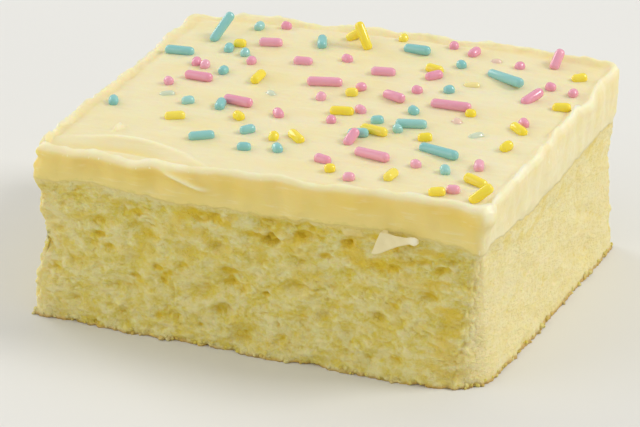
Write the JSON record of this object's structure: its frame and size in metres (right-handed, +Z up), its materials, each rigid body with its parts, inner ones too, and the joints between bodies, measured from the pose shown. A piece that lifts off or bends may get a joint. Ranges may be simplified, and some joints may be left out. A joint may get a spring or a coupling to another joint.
{
  "type": "iced sheet cake slice",
  "caption": "Square slice of pale yellow sheet cake with a thick layer of buttercream icing and scattered sugar sprinkles, resting flat on its base.",
  "frame": {"origin": "centre of the bounding box, on the plane of the base", "axes": "+Z up, -Y out of the front cut face, +X out of the right cut face"},
  "size_m": [0.0912, 0.0745, 0.0414],
  "materials": {
    "sponge": null,
    "icing": null
  },
  "bodies": {
    "root": {"sponge": "sponge", "icing": "icing"}
  },
  "joints": []
}
